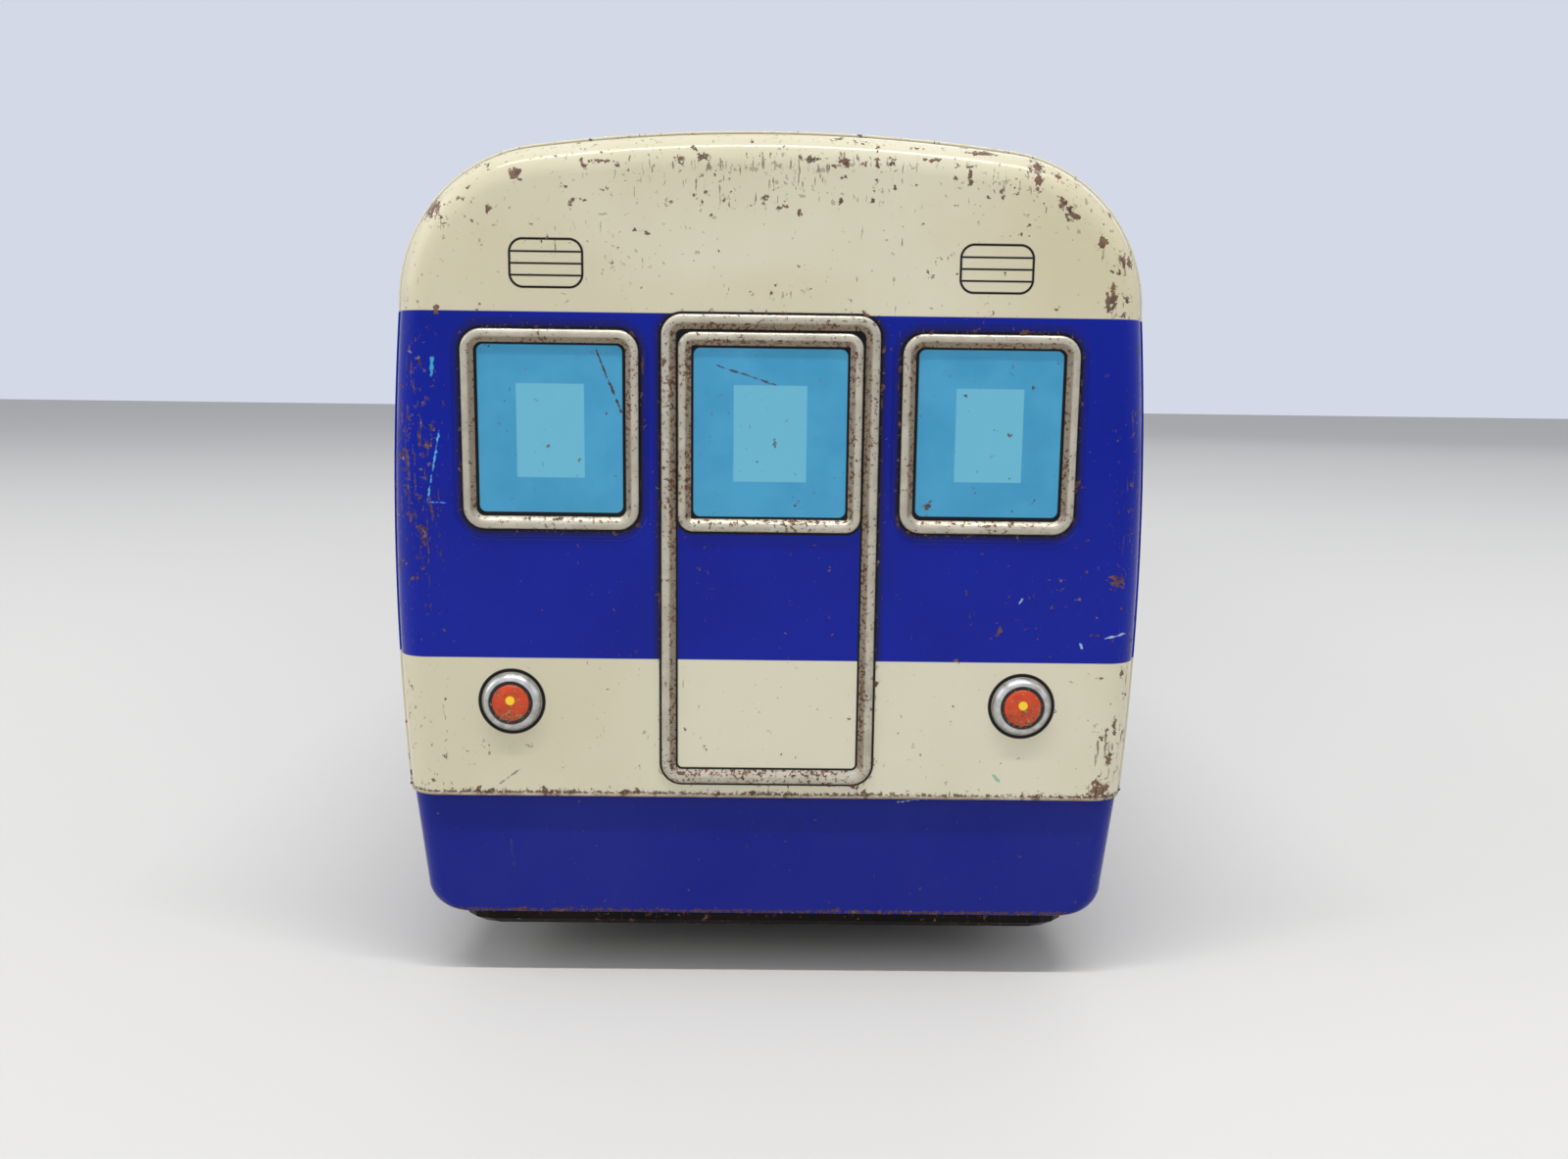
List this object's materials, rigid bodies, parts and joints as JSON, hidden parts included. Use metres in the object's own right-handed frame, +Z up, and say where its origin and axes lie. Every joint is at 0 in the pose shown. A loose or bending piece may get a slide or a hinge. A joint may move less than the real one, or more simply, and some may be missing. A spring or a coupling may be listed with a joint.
{
  "type": "toy railcar",
  "caption": "Tinplate friction-drive toy railcar: printed pressed-steel body with a flat rear end and a rounded nose, blue skirt, black base pan, geared flywheel motor and rubber-tyred axles.",
  "frame": {"origin": "on the floor under the middle of the bounding box", "axes": "+Y from the flat rear end to the rounded nose, +X to the right seen from the rear, +Z up"},
  "size_m": [0.114, 0.58, 0.1297],
  "materials": {
    "cream_enamel": "gloss lithographed enamel on tinplate, cream roof and waist, blue window band",
    "blue_enamel": "gloss blue lithographed enamel",
    "black_enamel": "satin black enamel",
    "steel": "bare bright steel",
    "brass": "stamped brass",
    "flywheel_metal": "turned grey casting",
    "tyre_rubber": "matt black rubber",
    "chrome_trim": "bright plated tin",
    "lamp_lens": "clear gloss plastic"
  },
  "bodies": {
    "chassis": {"body_shell": "cream_enamel", "rear_cap": "cream_enamel", "nose_shell": "cream_enamel", "coupler_cover": "cream_enamel", "headlight_bezel_right": "chrome_trim", "headlight_bezel_left": "chrome_trim", "headlight_lens_right": "lamp_lens", "headlight_lens_left": "lamp_lens", "skirt": "blue_enamel", "base_pan": "black_enamel", "motor_plate_right": "steel", "motor_plate_left": "steel", "motor_post_1": "steel", "motor_post_2": "steel", "motor_post_3": "steel", "motor_rivet_1": "steel", "motor_rivet_2": "steel", "motor_rivet_3": "steel", "motor_rivet_4": "steel", "front_bracket": "steel", "bracket_rivet_1": "steel", "bracket_rivet_2": "steel"},
    "driven_axle": {"rear_axle": "steel", "drive_gear": "brass", "axle_spacer_right": "brass", "axle_spacer_left": "brass", "wheel_rear_right": "steel", "wheel_rear_left": "steel", "tyre_rear_right": "tyre_rubber", "tyre_rear_left": "tyre_rubber"},
    "first_train": {"first_arbor": "steel", "first_gear": "brass"},
    "second_train": {"second_arbor": "steel", "second_gear": "brass"},
    "flywheel_train": {"flywheel_arbor": "steel", "flywheel": "flywheel_metal"},
    "leading_axle": {"front_axle": "steel", "wheel_front_right": "steel", "wheel_front_left": "steel", "tyre_front_right": "tyre_rubber", "tyre_front_left": "tyre_rubber"}
  },
  "joints": [
    {"name": "rear_axle_spin", "type": "hinge", "parent": "chassis", "child": "driven_axle", "pos_m": [0, -0.1884, 0.01785], "axis": [1, 0, 0], "continuous": true},
    {"name": "first_arbor_spin", "type": "hinge", "parent": "chassis", "child": "first_train", "pos_m": [0, -0.17791, 0.02519], "axis": [1, 0, 0], "continuous": true},
    {"name": "second_arbor_spin", "type": "hinge", "parent": "chassis", "child": "second_train", "pos_m": [0, -0.16438, 0.03011], "axis": [1, 0, 0], "continuous": true},
    {"name": "flywheel_spin", "type": "hinge", "parent": "chassis", "child": "flywheel_train", "pos_m": [0, -0.14998, 0.03011], "axis": [1, 0, 0], "continuous": true},
    {"name": "front_axle_spin", "type": "hinge", "parent": "chassis", "child": "leading_axle", "pos_m": [0, 0.1616, 0.01785], "axis": [1, 0, 0], "continuous": true}
  ],
  "couplings": [
    {"joint": "first_arbor_spin", "follows": "rear_axle_spin", "ratio": -1.6667},
    {"joint": "second_arbor_spin", "follows": "rear_axle_spin", "ratio": 4.3333},
    {"joint": "flywheel_spin", "follows": "rear_axle_spin", "ratio": -11.267}
  ]
}
